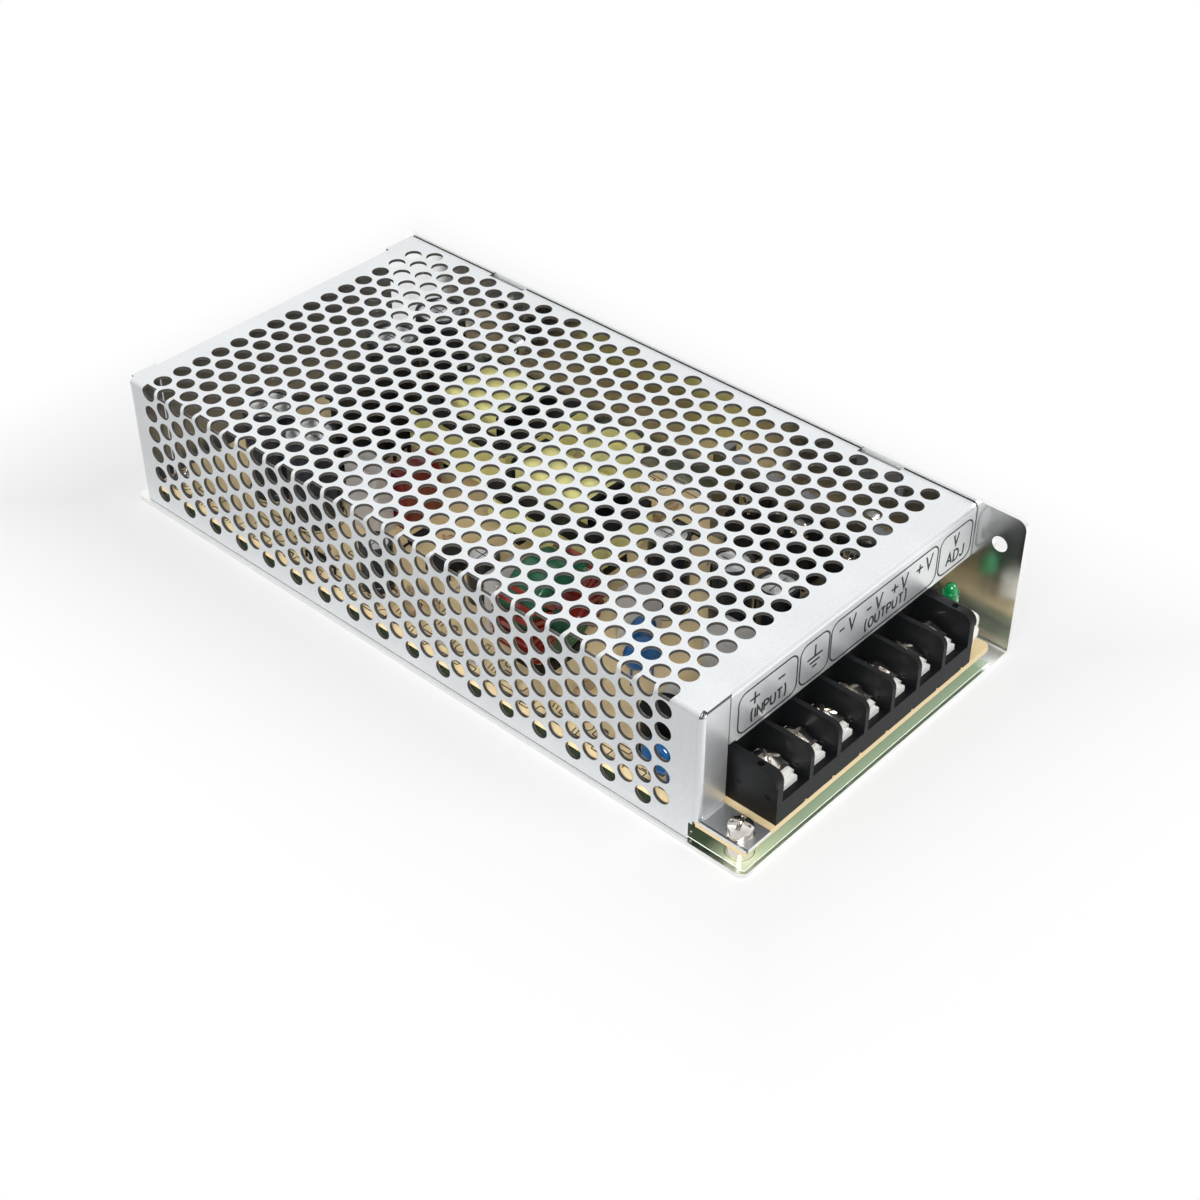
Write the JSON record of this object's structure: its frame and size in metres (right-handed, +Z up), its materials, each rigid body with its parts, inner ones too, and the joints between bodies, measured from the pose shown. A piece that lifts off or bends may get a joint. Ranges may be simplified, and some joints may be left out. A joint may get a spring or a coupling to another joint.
{
  "type": "mesh case switching power supply",
  "caption": "Flat switching power supply in a folded metal chassis and a perforated cover, with a row of screw terminals along its front.",
  "frame": {"origin": "middle of the underside of the base", "axes": "+Z up from the base, -Y towards the terminals, +X towards the plain wall"},
  "size_m": [0.098, 0.199, 0.038],
  "materials": {
    "bright_sheet": "mill bright, mirror-like, with fine rolling marks",
    "galvanised_sheet": "zinc-plated, satin",
    "board_laminate": "tan paper laminate, green underneath",
    "clear_film": "clear polyester film",
    "nickel": "nickel plated",
    "tinned_brass": "tin plated",
    "tinned_wire": "tinned",
    "black_plastic": "moulded, fine matt",
    "green_lens": "translucent epoxy",
    "cream_plastic": "moulded",
    "capacitor_sleeve": "shrunk sleeve with a bare aluminium top",
    "ferrite": "sintered, dark grey",
    "yellow_tape": "polyester tape over the winding",
    "green_coating": "epoxy coating",
    "enamelled_copper": "red enamelled wire",
    "red_lacquer": "dipped lacquer",
    "blue_lacquer": "dipped lacquer",
    "grey_plastic": "moulded box",
    "black_metal": "black anodised",
    "dark_metal": "plain aluminium",
    "moulded_package": "moulded epoxy with tinned legs",
    "resistor_body": "lacquered, with colour bands"
  },
  "bodies": {
    "root": {"chassis": "bright_sheet", "cover": "galvanised_sheet", "board": "board_laminate", "insulating_sheet": "clear_film", "standoffs": "nickel", "pan_screws": "nickel", "spring_washers": "nickel", "plain_washer": "nickel", "cover_screws": "nickel", "terminal_block": "black_plastic", "terminal_plates": "tinned_brass", "lamp_lens": "green_lens", "lamp_leads": "tinned_wire", "trimmer_pins": "tinned_wire", "trimmer_body": "cream_plastic", "input_capacitors": "capacitor_sleeve", "output_capacitors": "capacitor_sleeve", "small_capacitors": "capacitor_sleeve", "main_core": "ferrite", "main_winding": "yellow_tape", "main_bobbin": "black_plastic", "main_tape": "yellow_tape", "second_core": "ferrite", "second_winding": "yellow_tape", "second_bobbin": "black_plastic", "second_tape": "yellow_tape", "ring_core": "green_coating", "ring_windings": "enamelled_copper", "ring_base": "black_plastic", "red_capacitor": "red_lacquer", "film_capacitors": "grey_plastic", "disc_capacitors": "blue_lacquer", "drum_choke": "black_plastic", "filter_inductor": "yellow_tape", "primary_heatsink": "black_metal", "primary_transistors": "moulded_package", "output_heatsink": "dark_metal", "rectifiers": "moulded_package", "resistors": "resistor_body", "diodes": "moulded_package", "jumper_wires": "tinned_wire", "control_ic": "moulded_package", "optocouplers": "cream_plastic", "fuse": "tinned_brass"},
    "clamp_1": {"clamp_1": "nickel"},
    "screw_1": {"terminal_screw_1": "nickel"},
    "clamp_2": {"clamp_2": "nickel"},
    "screw_2": {"terminal_screw_2": "nickel"},
    "clamp_3": {"clamp_3": "nickel"},
    "screw_3": {"terminal_screw_3": "nickel"},
    "clamp_4": {"clamp_4": "nickel"},
    "screw_4": {"terminal_screw_4": "nickel"},
    "clamp_5": {"clamp_5": "nickel"},
    "screw_5": {"terminal_screw_5": "nickel"},
    "clamp_6": {"clamp_6": "nickel"},
    "screw_6": {"terminal_screw_6": "nickel"},
    "clamp_7": {"clamp_7": "nickel"},
    "screw_7": {"terminal_screw_7": "nickel"},
    "adjuster": {"trimmer_rotor": "cream_plastic"}
  },
  "joints": [
    {"name": "clamp_lift_1", "type": "slide", "parent": "root", "child": "clamp_1", "axis": [0, 0, 1], "range_m": [0, 0.003]},
    {"name": "screw_turn_1", "type": "hinge", "parent": "clamp_1", "child": "screw_1", "pos_m": [-0.031, -0.0902, 0.0145], "axis": [0, 0, 1], "range_deg": [0, 1800]},
    {"name": "clamp_lift_2", "type": "slide", "parent": "root", "child": "clamp_2", "axis": [0, 0, 1], "range_m": [0, 0.003]},
    {"name": "screw_turn_2", "type": "hinge", "parent": "clamp_2", "child": "screw_2", "pos_m": [-0.0215, -0.0902, 0.0145], "axis": [0, 0, 1], "range_deg": [0, 1800]},
    {"name": "clamp_lift_3", "type": "slide", "parent": "root", "child": "clamp_3", "axis": [0, 0, 1], "range_m": [0, 0.003]},
    {"name": "screw_turn_3", "type": "hinge", "parent": "clamp_3", "child": "screw_3", "pos_m": [-0.012, -0.0902, 0.0145], "axis": [0, 0, 1], "range_deg": [0, 1800]},
    {"name": "clamp_lift_4", "type": "slide", "parent": "root", "child": "clamp_4", "axis": [0, 0, 1], "range_m": [0, 0.003]},
    {"name": "screw_turn_4", "type": "hinge", "parent": "clamp_4", "child": "screw_4", "pos_m": [-0.0025, -0.0902, 0.0145], "axis": [0, 0, 1], "range_deg": [0, 1800]},
    {"name": "clamp_lift_5", "type": "slide", "parent": "root", "child": "clamp_5", "axis": [0, 0, 1], "range_m": [0, 0.003]},
    {"name": "screw_turn_5", "type": "hinge", "parent": "clamp_5", "child": "screw_5", "pos_m": [0.007, -0.0902, 0.0145], "axis": [0, 0, 1], "range_deg": [0, 1800]},
    {"name": "clamp_lift_6", "type": "slide", "parent": "root", "child": "clamp_6", "axis": [0, 0, 1], "range_m": [0, 0.003]},
    {"name": "screw_turn_6", "type": "hinge", "parent": "clamp_6", "child": "screw_6", "pos_m": [0.0165, -0.0902, 0.0145], "axis": [0, 0, 1], "range_deg": [0, 1800]},
    {"name": "clamp_lift_7", "type": "slide", "parent": "root", "child": "clamp_7", "axis": [0, 0, 1], "range_m": [0, 0.003]},
    {"name": "screw_turn_7", "type": "hinge", "parent": "clamp_7", "child": "screw_7", "pos_m": [0.026, -0.0902, 0.0145], "axis": [0, 0, 1], "range_deg": [0, 1800]},
    {"name": "adjuster_turn", "type": "hinge", "parent": "root", "child": "adjuster", "pos_m": [0.0375, -0.0933, 0.0122], "axis": [0, 0, 1], "range_deg": [-120, 120]}
  ],
  "couplings": [
    {"joint": "screw_turn_1", "follows": "clamp_lift_1", "rad_per_m": 10472},
    {"joint": "screw_turn_2", "follows": "clamp_lift_2", "rad_per_m": 10472},
    {"joint": "screw_turn_3", "follows": "clamp_lift_3", "rad_per_m": 10472},
    {"joint": "screw_turn_4", "follows": "clamp_lift_4", "rad_per_m": 10472},
    {"joint": "screw_turn_5", "follows": "clamp_lift_5", "rad_per_m": 10472},
    {"joint": "screw_turn_6", "follows": "clamp_lift_6", "rad_per_m": 10472},
    {"joint": "screw_turn_7", "follows": "clamp_lift_7", "rad_per_m": 10472}
  ]
}
